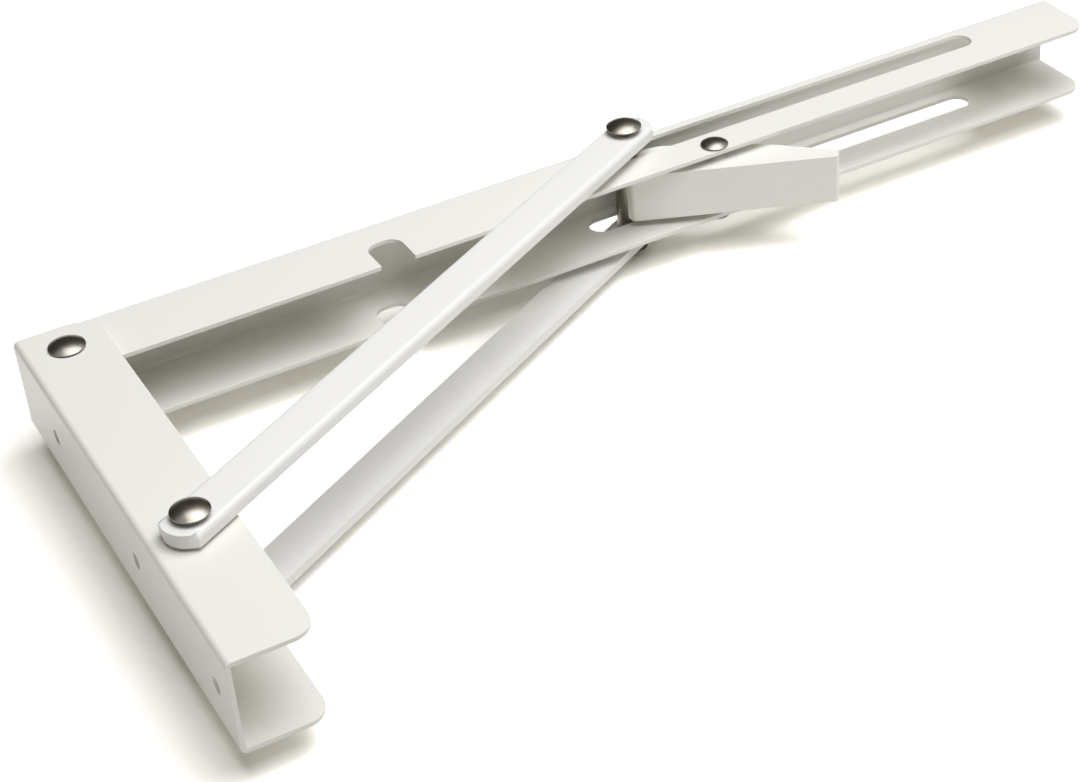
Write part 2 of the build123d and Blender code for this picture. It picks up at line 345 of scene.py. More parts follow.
@dataclass(frozen=True)
class PlatedSteel(Finish):
    """Plain plated steel for sleeves, washers and wire: drawn grain along the bracket's width."""

    roughness: float = 0.34
    tones: tuple[float, float] = (0.85, 1.12)
    relief: float = 0.02 * MM
    strength: float = 0.25

    def sockets(self, shader: Shader) -> dict[str, Value]:
        """The steel's sockets.

        Args:
            shader: the shader that gets the nodes.
        Returns:
            Values and signals by socket name.
        """
        grain = shader.noise(900.0, 3.0, (1.0, 0.1, 1.0))
        return {
            "Base Color": self.tone(shader, grain), "Metallic": 1.0, "Normal": self.bump(shader, grain),
            "Roughness": self.roughness + 0.16 * (grain - 0.5)}


@dataclass(frozen=True)
class MouldedPlastic(Finish):
    """Smooth moulded plastic with a fine spark-eroded texture and soft light inside it."""

    roughness: float = 0.38
    tones: tuple[float, float] = (0.985, 1.01)
    relief: float = 0.02 * MM
    strength: float = 0.25

    def sockets(self, shader: Shader) -> dict[str, Value]:
        """The plastic's sockets.

        Args:
            shader: the shader that gets the nodes.
        Returns:
            Values and signals by socket name.
        """
        spark, flow = shader.noise(2200.0), shader.noise(40.0, stretch=(1.0, 1.0, 0.4))
        return {
            "Base Color": self.tone(shader, flow), "Normal": self.bump(shader, spark),
            "Roughness": self.roughness + 0.07 * (flow - 0.5), "IOR": 1.48,
            "Subsurface Weight": 0.15, "Subsurface Scale": 2.0 * MM}


@dataclass(frozen=True)
class StudioFloor:
    """A white board that shows from its front only and keeps the object's shadow.

    Attributes:
        colour: the board's paint.
        gain: how much whiter the camera, mirrors and glass see the paint, so that the open floor is
            plain white.
    """

    colour: Colour = (0.80, 0.788, 0.757)
    gain: float = 1.82

    def build(self) -> bpy.types.Material:
        """Makes the material.

        Returns:
            The material.
        """
        shader = Shader.of_material("studio_floor")
        paint, lit = (shader.node("ShaderNodeBsdfDiffuse", {}, {"Color": rgba(self.colour, gain)})
                      for gain in (1.0, self.gain))
        board = shader.node("ShaderNodeMixShader", {}, {0: shader.seen(), 1: paint, 2: lit})
        clear = shader.node("ShaderNodeBsdfTransparent", {}, {})
        behind = shader.node("ShaderNodeNewGeometry", {}, {}, "Backfacing")
        return shader.finish(shader.node("ShaderNodeMixShader", {}, {0: behind, 1: board, 2: clear}))


# ---------------------------------------------------------------- mesh making
@dataclass(frozen=True)
class Corner:
    """One corner of an outline in the plane, with the radius that rounds it."""

    x: float
    y: float
    radius: float = 0.0


@dataclass(frozen=True)
class Opening:
    """A round-ended hole in the plane: a circle of this radius, drawn out along x by reach.

    Attributes:
        x: middle of the first round end.
        y: middle line.
        radius: radius of both ends.
        reach: distance between the two ends' middles; 0 makes a round hole.
    """

    x: float
    y: float
    radius: float
    reach: float = 0.0


@dataclass(frozen=True)
class Notch:
    """A notch in both free edges of a channel.

    Attributes:
        middle: its middle, along the channel.
        width: its width.
        floor: distance of its floor from the web's outer face.
        corner: radius of its two inner corners.
    """

    middle: float
    width: float
    floor: float
    corner: float


class Workshop:
    """Mesh operations shared by all sub-assemblies."""

    ARC_STEPS = 8  # segments in a rounded corner
    HOLE_STEPS = 40  # segments in a hole's rim
    SQUARE = 60.0  # least angle between the faces of a square edge, in degrees
    SAME_PLACE = 1e-7  # points this near are one while a mesh is cut or turned
    WELD = 1e-6  # the same in a finished mesh
    FACE_WEIGHT = 80  # how strongly large faces steer the smooth shading

    @classmethod
    def outline(cls, mesh: bmesh.types.BMesh, corners: Sequence[Corner]) -> None:
        """Adds a closed outline with rounded corners, with no face inside.

        Args:
            mesh: the mesh to add to.
            corners: the corners in order.
        """
        verts = [mesh.verts.new((corner.x, corner.y, 0.0)) for corner in corners]
        mesh.faces.new(verts)
        for vert, corner in zip(verts, corners):
            if corner.radius > 0.0:
                bmesh.ops.bevel(mesh, geom=[vert], offset=corner.radius, offset_type="OFFSET",
                                segments=cls.ARC_STEPS, profile=0.5, affect="VERTICES", material=-1)
        bmesh.ops.delete(mesh, geom=list(mesh.faces), context="FACES_ONLY")

    @classmethod
    def hole(cls, mesh: bmesh.types.BMesh, opening: Opening) -> None:
        """Adds the rim of a round or round-ended hole.

        Args:
            mesh: the mesh to add to.
            opening: the hole.
        """
        half_step = Matrix.Rotation(math.pi / cls.HOLE_STEPS, 4, "Z")
        made = bmesh.ops.create_circle(mesh, cap_ends=False, radius=opening.radius,
                                       segments=cls.HOLE_STEPS, matrix=half_step)
        if opening.reach:
            right = [vert for vert in made["verts"] if vert.co.x > 0.0]
            bmesh.ops.translate(mesh, verts=right, vec=(opening.reach, 0.0, 0.0))
        bmesh.ops.translate(mesh, verts=made["verts"], vec=(opening.x, opening.y, 0.0))

    @classmethod
    def plate(cls, corners: Sequence[Corner], openings: Sequence[Opening]) -> bmesh.types.BMesh:
        """A flat face with holes in the x-y plane.

        Args:
            corners: the outline.
            openings: the holes.
        Returns:
            A mesh of the face.
        """
        mesh = bmesh.new()
        cls.outline(mesh, corners)
        for opening in openings:
            cls.hole(mesh, opening)
        bmesh.ops.triangle_fill(mesh, use_beauty=True, use_dissolve=False, edges=list(mesh.edges),
                                normal=(0.0, 0.0, 1.0))
        bmesh.ops.recalc_face_normals(mesh, faces=list(mesh.faces))
        if mesh.faces[:][0].normal.z < 0.0:
            bmesh.ops.reverse_faces(mesh, faces=list(mesh.faces))
        return mesh

    @classmethod
    def cut_across(cls, mesh: bmesh.types.BMesh, places: Sequence[float]) -> None:
        """Cuts the whole mesh by planes square to y.

        Args:
            mesh: the mesh.
            places: where the planes stand on y.
        """
        for place in places:
            geometry = list(mesh.verts) + list(mesh.edges) + list(mesh.faces)
            bmesh.ops.bisect_plane(mesh, geom=geometry, dist=cls.SAME_PLACE, plane_co=(0.0, place, 0.0),
                                   plane_no=(0.0, 1.0, 0.0))

    @staticmethod
    def thicken(mesh: bmesh.types.BMesh, thickness: float) -> None:
        """Gives a flat face its thickness, downwards from z = 0.

        Args:
            mesh: the mesh of the face.
            thickness: the thickness.
        """
        made = bmesh.ops.extrude_face_region(mesh, geom=list(mesh.faces), use_keep_orig=True)
        lower = [item for item in made["geom"] if isinstance(item, bmesh.types.BMVert)]
        bmesh.ops.translate(mesh, verts=lower, vec=(0.0, 0.0, -thickness))
        bmesh.ops.recalc_face_normals(mesh, faces=list(mesh.faces))

    @classmethod
    def round_rims(cls, mesh: bmesh.types.BMesh, radius: float, steps: int,
                   chosen: Callable[[Vector], bool] = lambda middle: True) -> None:
        """Rounds the mesh's square edges.

        Args:
            mesh: the mesh.
            radius: the rounding.
            steps: segments across it.
            chosen: says of an edge's middle whether it is one of them.
        """
        rims = [edge for edge in mesh.edges
                if len(edge.link_faces) == 2 and edge.calc_face_angle(0.0) > math.radians(cls.SQUARE)
                and chosen((edge.verts[0].co + edge.verts[1].co) / 2)]
        bmesh.ops.bevel(mesh, geom=rims, offset=radius, offset_type="OFFSET", segments=steps,
                        profile=0.5, affect="EDGES", material=-1, clamp_overlap=True)

    @classmethod
    def lathe(cls, profile: Sequence[tuple[float, float]], steps: int,
              ring: bool = False) -> bmesh.types.BMesh:
        """Spins a profile of (radius, height) points about z.

        Args:
            profile: the points, from the axis below to the axis above.
            steps: segments round the axis.
            ring: whether the last point joins the first, as in a tube.
        Returns:
            The closed mesh.
        """
        mesh = bmesh.new()
        verts = [mesh.verts.new((radius, 0.0, height)) for radius, height in profile]
        edges = [mesh.edges.new(pair) for pair in zip(verts, verts[1:])]
        if ring:
            edges.append(mesh.edges.new((verts[-1], verts[0])))
        bmesh.ops.spin(mesh, geom=verts + edges, axis=(0.0, 0.0, 1.0), cent=(0.0, 0.0, 0.0),
                       angle=math.tau, steps=steps, use_merge=True)
        bmesh.ops.remove_doubles(mesh, verts=list(mesh.verts), dist=cls.SAME_PLACE)
        bmesh.ops.recalc_face_normals(mesh, faces=list(mesh.faces))
        return mesh

    @classmethod
    def deliver(cls, mesh: bmesh.types.BMesh, name: str, finish: bpy.types.Material) -> bpy.types.Object:
        """Turns a mesh into a smooth-shaded object at the origin, with its faces outwards.

        Args:
            mesh: the finished mesh; it is freed.
            name: the piece's name.
            finish: its material.
        Returns:
            The linked object.
        """
        bmesh.ops.remove_doubles(mesh, verts=list(mesh.verts), dist=cls.WELD)
        bmesh.ops.dissolve_degenerate(mesh, edges=list(mesh.edges), dist=cls.WELD)
        if mesh.calc_volume(signed=True) < 0.0:
            bmesh.ops.reverse_faces(mesh, faces=list(mesh.faces))
        for face in mesh.faces:
            face.smooth = True
        data = bpy.data.meshes.new(name)
        mesh.to_mesh(data)
        mesh.free()
        piece = bpy.data.objects.new(name, data)
        bpy.context.scene.collection.objects.link(piece)
        piece.data.materials.append(finish)
        modifier = piece.modifiers.new("even_shading", "WEIGHTED_NORMAL")
        modifier.weight = cls.FACE_WEIGHT
        modifier.keep_sharp = True
        LOG.info("%s: %d faces", name, len(data.polygons))
        return piece


# ---------------------------------------------------------------- sub-assemblies
@dataclass
class Linkage:
    """Places and sizes that the channels, braces, rivets and lever share.

    Attributes:
        pivot_x: both wall pivots' distance from the wall.
        pivot_drop: the arm pivot's depth below the shelf.
        pivot_spacing: distance between the two wall pivots.
        brace_span: distance between a brace's two pivots.
        slot_rise: the slots' middle line above the arm pivot.
        slot_overtravel: how far the slots run past the latched slider towards the wall.
        slot_radius: radius of the slots' ends.
        rivet_radius: radius of the bores for the large rivets.
        lever_bore: radius of the bores for the lever's rivet.
        lever_setback: the lever's pin beyond the latched slider.
        lever_drop: the lever's pin below the slots' middle line.
    """

    pivot_x: float = 13.0 * MM
    pivot_drop: float = 16.5 * MM
    pivot_spacing: float = 103.0 * MM
    brace_span: float = 222.0 * MM
    slot_rise: float = 7.25 * MM
    slot_overtravel: float = 10.2 * MM
    slot_radius: float = 4.5 * MM
    rivet_radius: float = 3.05 * MM
    lever_bore: float = 2.55 * MM
    lever_setback: float = 26.3 * MM
    lever_drop: float = 12.25 * MM

    @property
    def slot_z(self) -> float:
        """Height of the slots' middle line."""
        return -self.pivot_drop + self.slot_rise

    @property
    def slider_x(self) -> float:
        """Where the slider stands when the bracket is latched open."""
        return self.pivot_x + math.sqrt(self.brace_span**2 - (self.pivot_spacing + self.slot_rise) ** 2)

    @property
    def folded_x(self) -> float:
        """Where the slider stands along the arm when the bracket is folded."""
        return self.pivot_x + self.pivot_spacing + math.sqrt(self.brace_span**2 - self.slot_rise**2)

    @property
    def arm_pivot(self) -> Vector:
        """The arm's pivot on the middle plane."""
        return Vector((self.pivot_x, 0.0, -self.pivot_drop))

    @property
    def brace_pivot(self) -> Vector:
        """The braces' fixed pivot on the middle plane."""
        return Vector((self.pivot_x, 0.0, -self.pivot_drop - self.pivot_spacing))

    @property
    def slider(self) -> Vector:
        """The slider's middle on the middle plane."""
        return Vector((self.slider_x, 0.0, self.slot_z))

    @property
    def lever_pivot(self) -> Vector:
        """The lever's pin on the middle plane."""
        return Vector((self.slider_x + self.lever_setback, 0.0, self.slot_z - self.lever_drop))


@dataclass
class FoldedChannel:
    """A U channel folded from one blank: the blank is cut flat, rounded, and then bent.

    Attributes:
        name: the piece's name.
        node: the CAD node that it stands for.
        body: the body that it rides on.
        width: outside width across the web.
        depth: from the web's outer face to the flanges' free edges.
        start: where the channel starts along its length.
        end: where it ends.
        sheet: sheet thickness.
        bend_radius: outside radius of the folds.
        start_corner: radius of the flanges' free corners at the start.
        end_corner: the same at the end.
        place: maps (along, across, depth) to the frame.
        notch: a notch in both flanges, or nothing.
        flange_openings: holes through both flanges, y counted from the web's outer face.
        web_openings: holes through the web, y counted from its middle line.
        rim_radius: rounding of the cut edges.
        rim_steps: segments across it.
        fold_steps: segments across each fold.
    """

    name: str
    node: str
    body: Body
    width: float
    depth: float
    start: float
    end: float
    sheet: float
    bend_radius: float
    start_corner: float
    end_corner: float
    place: Callable[[float, float, float], Vector]
    notch: Optional[Notch] = None
    flange_openings: Sequence[Opening] = ()
    web_openings: Sequence[Opening] = ()
    rim_radius: float = 0.45 * MM
    rim_steps: int = 3
    fold_steps: int = 8

    @property
    def flat_half(self) -> float:
        """Half of the web's flat width."""
        return self.width / 2 - self.bend_radius

    @property
    def fold_length(self) -> float:
        """Length of one fold along the middle of the sheet."""
        return (self.bend_radius - self.sheet / 2) * math.pi / 2

    def across(self, depth: float) -> float:
        """Distance from the blank's middle line of a flange point at that depth from the web."""
        return self.flat_half + self.fold_length + depth - self.bend_radius

    def blank_corners(self) -> list[Corner]:
        """The blank's outline, with the notches in both long edges.

        Returns:
            The corners in order.
        """
        edge = self.across(self.depth)
        lower = [Corner(self.start, -edge, self.start_corner)]
        if self.notch:
            left, right = (self.notch.middle + side.value * self.notch.width / 2 for side in Side)
            inner = self.across(self.notch.floor)
            lower += [Corner(left, -edge), Corner(left, -inner, self.notch.corner),
                      Corner(right, -inner, self.notch.corner), Corner(right, -edge)]
        lower.append(Corner(self.end, -edge, self.end_corner))
        upper = [Corner(corner.x, -corner.y, corner.radius) for corner in reversed(lower)]
        return lower + upper

    def blank_openings(self) -> list[Opening]:
        """All holes on the flat blank: the web's, and the flanges' on both sides."""
        flanges = [Opening(hole.x, side.value * self.across(hole.y), hole.radius, hole.reach)
                   for hole in self.flange_openings for side in Side]
        return [*self.web_openings, *flanges]

    def fold(self, point: Vector) -> Vector:
        """Where a point of the flat blank lies after folding.

        Args:
            point: along, across and height above the blank's outer face.
        Returns:
            The point in the frame.
        """
        side = math.copysign(1.0, point.y)
        reach = abs(point.y)
        inward = -point.z
        if reach <= self.flat_half:
            return self.place(point.x, point.y, inward)
        radius = self.bend_radius - inward
        if reach <= self.flat_half + self.fold_length:
            angle = (reach - self.flat_half) / self.fold_length * math.pi / 2
            return self.place(point.x, side * (self.flat_half + radius * math.sin(angle)),
                              self.bend_radius - radius * math.cos(angle))
        depth = self.bend_radius + reach - self.flat_half - self.fold_length
        return self.place(point.x, side * (self.flat_half + radius), depth)

    def build(self, finish: bpy.types.Material) -> None:
        """Cuts, rounds and folds the blank.

        Args:
            finish: the paint.
        """
        mesh = Workshop.plate(self.blank_corners(), self.blank_openings())
        lines = [self.flat_half + self.fold_length * step / self.fold_steps
                 for step in range(self.fold_steps + 1)]
        Workshop.cut_across(mesh, [side.value * line for side in Side for line in lines])
        Workshop.thicken(mesh, self.sheet)
        Workshop.round_rims(mesh, self.rim_radius, self.rim_steps)
        for vert in mesh.verts:
            vert.co = self.fold(vert.co)
        bmesh.ops.recalc_face_normals(mesh, faces=list(mesh.faces))
        piece = Workshop.deliver(mesh, self.name, finish)
        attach(piece, self.body.value)
        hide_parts(self.node)


@dataclass
class Channels:
    """The wall channel and the shelf arm.

    Attributes:
        linkage: the shared places.
        sheet: thickness of both sheets.
        corner: radius of the flanges' free corners at the channels' far ends.
        wall_bend: outside radius of the wall channel's folds.
        wall_top_corner: radius of its flanges' free corners above the arm pivot.
        wall_screws: its screw holes, down from the shelf.
        wall_screw_radius: their radius.
        arm_bend: outside radius of the arm's folds.
        notch_width: width of the notches that clear the braces' fixed pivot.
        notch_floor: distance of their floor from the web's outer face.
        notch_corner: radius of their inner corners.
        shelf_screws: the arm's screw holes, out from the wall.
        shelf_screw_radius: their radius.
    """

    linkage: Linkage
    sheet: float = 1.5 * MM
    corner: float = 7.0 * MM
    wall_bend: float = 2.0 * MM
    wall_top_corner: float = 9.0 * MM
    wall_screws: tuple[float, ...] = (36.5 * MM, 103.5 * MM, 161.5 * MM)
    wall_screw_radius: float = 2.5 * MM
    arm_bend: float = 2.5 * MM
    notch_width: float = 11.4 * MM
    notch_floor: float = 12.5 * MM
    notch_corner: float = 4.5 * MM
    shelf_screws: tuple[float, ...] = (40.0 * MM, 180.0 * MM, 320.0 * MM)
    shelf_screw_radius: float = 2.75 * MM

    def wall(self) -> FoldedChannel:
        """The wall channel: it runs down the wall and opens towards the room.

        Returns:
            Its description.
        """
        low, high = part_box("wall_channel")
        link = self.linkage
        pivots = (link.pivot_drop, link.pivot_drop + link.pivot_spacing)
        return FoldedChannel(
            name="wall_channel_coated", node="wall_channel", body=Body.WALL, width=high[1] - low[1],
            depth=high[0] - low[0], start=-high[2], end=-low[2], sheet=self.sheet, bend_radius=self.wall_bend,
            start_corner=self.wall_top_corner, end_corner=self.corner,
            place=lambda along, across, depth: Vector((depth, across, -along)),
            flange_openings=[Opening(drop, link.pivot_x, link.rivet_radius) for drop in pivots],
            web_openings=[Opening(down, 0.0, self.wall_screw_radius) for down in self.wall_screws])

    def arm(self) -> FoldedChannel:
        """The shelf arm: it runs out from the wall and opens downwards.

        Returns:
            Its description.
        """
        low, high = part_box("arm_channel")
        link = self.linkage
        depth = high[2] - low[2]
        slot_start = link.slider_x - link.slot_overtravel
        return FoldedChannel(
            name="arm_channel_coated", node="arm_channel", body=Body.ARM, width=high[1] - low[1],
            depth=depth, start=low[0], end=high[0], sheet=self.sheet, bend_radius=self.arm_bend,
            start_corner=depth - link.pivot_drop, end_corner=self.corner,
            notch=Notch(link.pivot_x + link.pivot_spacing, self.notch_width, self.notch_floor,
                        self.notch_corner),
            place=lambda along, across, depth: Vector((along, across, -depth)),
            flange_openings=[Opening(link.pivot_x, link.pivot_drop, link.rivet_radius),
                             Opening(slot_start, -link.slot_z, link.slot_radius, link.folded_x - slot_start),
                             Opening(link.lever_pivot.x, -link.lever_pivot.z, link.lever_bore)],
            web_openings=[Opening(out, 0.0, self.shelf_screw_radius) for out in self.shelf_screws])

    def build(self, finish: bpy.types.Material) -> None:
        """Makes both channels."""
        self.wall().build(finish)
        self.arm().build(finish)


@dataclass
class Braces:
    """The two flat bars, one on each side of the channels.

    Attributes:
        linkage: the shared places.
        width: width of the bar.
        edge_radius: rounding of the outer long edges, which comes from rolling.
        edge_steps: segments across it.
        cut_radius: rounding of all other edges.
        cut_steps: segments across it.
        foot_overhang: from the lower pivot to the end of the foot.
        foot_crown: how far the foot's end bows out.
        foot_bow: from the shoulders to the foot's crest before it is rounded, in crowns.
        foot_round: rounding of the crest.
        tip_offset: the round tip's middle past the slider.
        tip_share: share of the half width that rounds the tip's corners; 1 would merge them.
        tight: how near a line an edge must lie to count as on it.
    """

    linkage: Linkage
    width: float = 13.8 * MM
    edge_radius: float = 1.8 * MM
    edge_steps: int = 7
    cut_radius: float = 0.35 * MM
    cut_steps: int = 2
    foot_overhang: float = 8.5 * MM
    foot_crown: float = 3.0 * MM
    foot_bow: float = 1.6
    foot_round: float = 5.0 * MM
    tip_offset: float = 4.6 * MM
    tip_share: float = 0.999
    tight: float = 0.01 * MM

    @property
    def shoulder(self) -> float:
        """Where the long sides end at the foot, from the lower pivot."""
        return self.foot_crown - self.foot_overhang

    def corners(self) -> list[Corner]:
        """The bar's outline from its foot to its round tip, pivot at the origin.

        Returns:
            The corners in order.
        """
        half = self.width / 2
        tip = self.linkage.brace_span + self.tip_offset + half
        tip_round = half * self.tip_share
        crest = self.shoulder - self.foot_crown * self.foot_bow
        return [Corner(self.shoulder, -half), Corner(tip, -half, tip_round), Corner(tip, half, tip_round),
                Corner(self.shoulder, half), Corner(crest, 0.0, self.foot_round)]

    def rolled(self, middle: Vector, outer: float) -> bool:
        """Whether an edge is an outer one along the bar or round its tip, not the foot's or a bore's.

        Args:
            middle: the edge's middle.
            outer: height of the bar's outer face.
        Returns:
            True for a rolled edge.
        """
        beside = abs(middle.y) > self.width / 2 - self.tight
        past_bore = middle.x > self.linkage.brace_span + self.linkage.rivet_radius + self.tight
        on_bar = middle.x > self.shoulder + self.tight
        return abs(middle.z - outer) < self.tight and on_bar and (beside or past_bore)

    def build(self, finish: bpy.types.Material) -> None:
        """Makes both braces.

        Args:
            finish: the paint.
        """
        pivot = self.linkage.brace_pivot
        rise = self.linkage.slider - pivot
        turn = Matrix.Rotation(-math.atan2(rise.z, rise.x), 4, "Y") @ Matrix.Rotation(-math.pi / 2, 4, "X")
        for side in Side:
            node = f"brace_{side.word}"
            low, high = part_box(node)
            thickness = high[1] - low[1]
            outer = 0.0 if side is Side.FAR else -thickness
            mesh = Workshop.plate(self.corners(), [
                Opening(along, 0.0, self.linkage.rivet_radius) for along in (0.0, self.linkage.brace_span)])
            Workshop.thicken(mesh, thickness)
            Workshop.round_rims(mesh, self.edge_radius, self.edge_steps,
                                lambda middle: self.rolled(middle, outer))
            Workshop.round_rims(mesh, self.cut_radius, self.cut_steps)
            stand = Matrix.Translation((pivot.x, high[1], pivot.z))
            bmesh.ops.transform(mesh, matrix=stand @ turn, verts=mesh.verts)
            piece = Workshop.deliver(mesh, f"{node}_coated", finish)
            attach(piece, Body.BRACES.value)
            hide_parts(node)


@dataclass(frozen=True)
class Head:
    """One size of domed rivet head.

    Attributes:
        radius: outside radius.
        lift: how far its underside stands off the face below it.
        rim: height of its straight edge.
    """

    radius: float
    lift: float
    rim: float


@dataclass(frozen=True)
class RivetEnd:
    """One end of a rivet and where it goes.

    Attributes:
        node: the CAD node, or the start of its name where each side has one.
        head: the head's size.
        place: the rivet's middle.
        body: the body it rides on.
        seat: the face that the head closes on, from the middle plane.
        shank: shank radius.
        inner: where this end's metal begins, from the middle plane.
    """

    node: str
    head: Head
    place: Vector
    body: Body
    seat: float
    shank: float
    inner: float = 0.0

    def replaced(self, side: Side) -> str:
        """The CAD node that this end stands for on that side."""
        return f"{self.node}_{side.word}" if self.inner else self.node


@dataclass
class Rivets:
    """Every rivet, a straight shank under low domed heads, and the sleeves and washers on them.

    Attributes:
        linkage: the shared places.
        shank: shank radius of the large rivets.
        lever_shank: the same for the lever's rivet.
        neck: how much wider the shank is under a head.
        edge: rounding of the heads' rims.
        edge_knee: height and depth of that rounding's middle point, in roundings.
        dome_slope: slope of a dome where it meets the rim, in degrees.
        dome_steps: segments from a dome's rim to its top.
        steps: segments round the axis.
        bore_gap: gap between a rivet and what sits on it.
        tube_break: size of the sleeves' and washers' broken edges.
        arm_head: head of the arm's rivet.
        brace_head: head of the braces' fixed rivet.
        slider_head: head of the slider's rivet.
        lever_head: head of the lever's rivet.
    """

    linkage: Linkage
    shank: float = 3.0 * MM
    lever_shank: float = 2.5 * MM
    neck: float = 0.3 * MM
    edge: float = 0.22 * MM
    edge_knee: float = 0.3
    dome_slope: float = 34.0
    dome_steps: int = 14
    steps: int = 72
    bore_gap: float = 0.05 * MM
    tube_break: float = 0.2 * MM
    arm_head: Head = Head(5.65 * MM, 0.3 * MM, 0.5 * MM)
    brace_head: Head = Head(5.6 * MM, 1.4 * MM, 0.55 * MM)
    slider_head: Head = Head(5.7 * MM, 1.75 * MM, 0.55 * MM)
    lever_head: Head = Head(4.5 * MM, 0.2 * MM, 0.45 * MM)

    def profile(self, end: RivetEnd) -> list[tuple[float, float]]:
        """Half section of one rivet end from the middle plane outwards.

        Args:
            end: the rivet end.
        Returns:
            The (radius, height) points.
        """
        radius, neck, edge = end.head.radius, end.shank + self.neck, self.edge
        knee = self.edge_knee * edge
        base = end.seat + end.head.lift
        top = base + end.head.rim
        points = [(0.0, end.inner), (end.shank, end.inner), (end.shank, end.seat), (neck, end.seat),
                  (neck, base), (radius - edge, base), (radius - knee, base + knee), (radius, base + edge),
                  (radius, top - edge), (radius - knee, top - knee)]
        slope = math.radians(self.dome_slope)
        sphere = (radius - edge) / math.sin(slope)
        for step in range(self.dome_steps, -1, -1):
            angle = slope * step / self.dome_steps
            points.append((sphere * math.sin(angle), top + sphere * (math.cos(angle) - math.cos(slope))))
        return points

    def stand(self, name: str, place: Vector, side: Side, body: Body, finish: bpy.types.Material,
              mesh: bmesh.types.BMesh) -> bpy.types.Object:
        """Stands a turned mesh across the bracket.

        Args:
            name: the piece's name.
            place: a point on its axis, on the middle plane.
            side: the side that the mesh's +z points to.
            body: the body it rides on.
            finish: the metal.
            mesh: the turned mesh.
        Returns:
            The piece.
        """
        aim = Matrix.Rotation(-side.value * math.pi / 2, 4, "X")
        bmesh.ops.transform(mesh, matrix=Matrix.Translation(place) @ aim, verts=mesh.verts)
        piece = Workshop.deliver(mesh, name, finish)
        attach(piece, body.value)
        return piece

    def rivet(self, end: RivetEnd, finish: bpy.types.Material) -> None:
        """Turns a rivet's end on both sides.

        Args:
            end: the rivet end.
            finish: the metal.
        """
        for side in Side:
            mesh = Workshop.lathe(self.profile(end), self.steps)
            piece = self.stand(f"{end.node}_{side.word}_end", end.place, side, end.body, finish, mesh)
            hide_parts(end.replaced(side))

    def tube(self, node: str, place: Vector, body: Body, finish: bpy.types.Material) -> None:
        """Turns a sleeve or washer with broken edges in place of its CAD node.

        Args:
            node: the CAD node.
            place: a point on its axis, on the middle plane.
            body: the body it rides on.
            finish: the metal.
        """
        low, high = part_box(node)
        outer, bore, broken = (high[2] - low[2]) / 2, self.shank + self.bore_gap, self.tube_break
        section = [(bore, low[1]), (outer - broken, low[1]), (outer, low[1] + broken),
                   (outer, high[1] - broken), (outer - broken, high[1]), (bore, high[1])]
        mesh = Workshop.lathe(section, self.steps, ring=True)
        piece = self.stand(f"{node}_turned", place, Side.FAR, body, finish, mesh)
        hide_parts(node)

    def build(self, nickel: bpy.types.Material, steel: bpy.types.Material) -> None:
        """Makes all rivets, sleeves and washers.

        Args:
            nickel: finish of the rivets.
            steel: finish of the sleeves and washers.
        """
        link = self.linkage
        wall_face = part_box("wall_channel")[1][1]
        arm_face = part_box("arm_channel")[1][1]
        brace_low, brace_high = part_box("brace_far")
        brace_inner, brace_face = brace_low[1], brace_high[1]
        for end in (
                RivetEnd("arm_pivot_rivet", self.arm_head, link.arm_pivot, Body.WALL, wall_face, self.shank),
                RivetEnd("brace_pivot_rivet", self.brace_head, link.brace_pivot, Body.WALL, brace_face,
                         self.shank),
                RivetEnd("lever_pivot_rivet", self.lever_head, link.lever_pivot, Body.ARM, arm_face,
                         self.lever_shank),
                RivetEnd("slider_rivet_head", self.slider_head, link.slider, Body.BRACES, brace_face,
                         self.shank, brace_inner)):
            self.rivet(end, nickel)
        self.tube("slider_sleeve", link.slider, Body.SLIDER, steel)
        self.tube("arm_pivot_sleeve", link.arm_pivot, Body.ARM, steel)
        for side in Side:
            self.tube(f"brace_pivot_washer_{side.word}", link.brace_pivot, Body.WALL, steel)


@dataclass
class Spring:
    """The lever's torsion spring: round wire coiled round the far boss, one end in the lever, one in the arm.

    Attributes:
        linkage: the shared places.
        wire: wire radius.
        wire_steps: segments round the wire.
        coil: radius of the coil's middle line.
        turns: number of turns.
        turn_steps: segments in one turn.
        start: where the coil begins, from the middle plane.
        end: where it ends.
        tang: radius of the straight ends.
        lever_end: where the straight end in the lever stops.
        arm_end: where the straight end in the arm stops.
    """

    linkage: Linkage
    wire: float = 0.39 * MM
    wire_steps: int = 14
    coil: float = 3.95 * MM
    turns: int = 2
    turn_steps: int = 40
    start: float = 8.84 * MM
    end: float = 10.56 * MM
    tang: float = 0.3 * MM
    lever_end: float = 5.84 * MM
    arm_end: float = 12.4 * MM

    def build(self, finish: bpy.types.Material) -> None:
        """Winds the coil and adds its two straight ends.

        Args:
            finish: the wire's metal.
        """
        pivot = self.linkage.lever_pivot
        top = pivot.z + self.coil
        steps = self.turns * self.turn_steps
        mesh = bmesh.new()
        stand = Matrix.Translation((pivot.x, self.start, top)) @ Matrix.Rotation(math.pi / 2, 4, "Y")
        made = bmesh.ops.create_circle(mesh, cap_ends=False, radius=self.wire, segments=self.wire_steps,
                                       matrix=stand)
        bmesh.ops.spin(mesh, geom=made["verts"] + list(mesh.edges), cent=pivot, axis=(0.0, 1.0, 0.0),
                       dvec=(0.0, (self.end - self.start) / steps, 0.0), angle=math.tau * self.turns,
                       steps=steps)
        bmesh.ops.holes_fill(mesh, edges=list(mesh.edges), sides=0)
        for near, far in ((self.lever_end, self.start), (self.end, self.arm_end)):
            middle = Matrix.Translation((pivot.x, (near + far) / 2, top))
            bmesh.ops.create_cone(mesh, cap_ends=True, segments=self.wire_steps, radius1=self.tang,
                                  radius2=self.tang, depth=far - near,
                                  matrix=middle @ Matrix.Rotation(math.pi / 2, 4, "X"))
        bmesh.ops.recalc_face_normals(mesh, faces=list(mesh.faces))
        piece = Workshop.deliver(mesh, "lever_spring_wound", finish)
        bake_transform(piece)
        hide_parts("lever_spring")


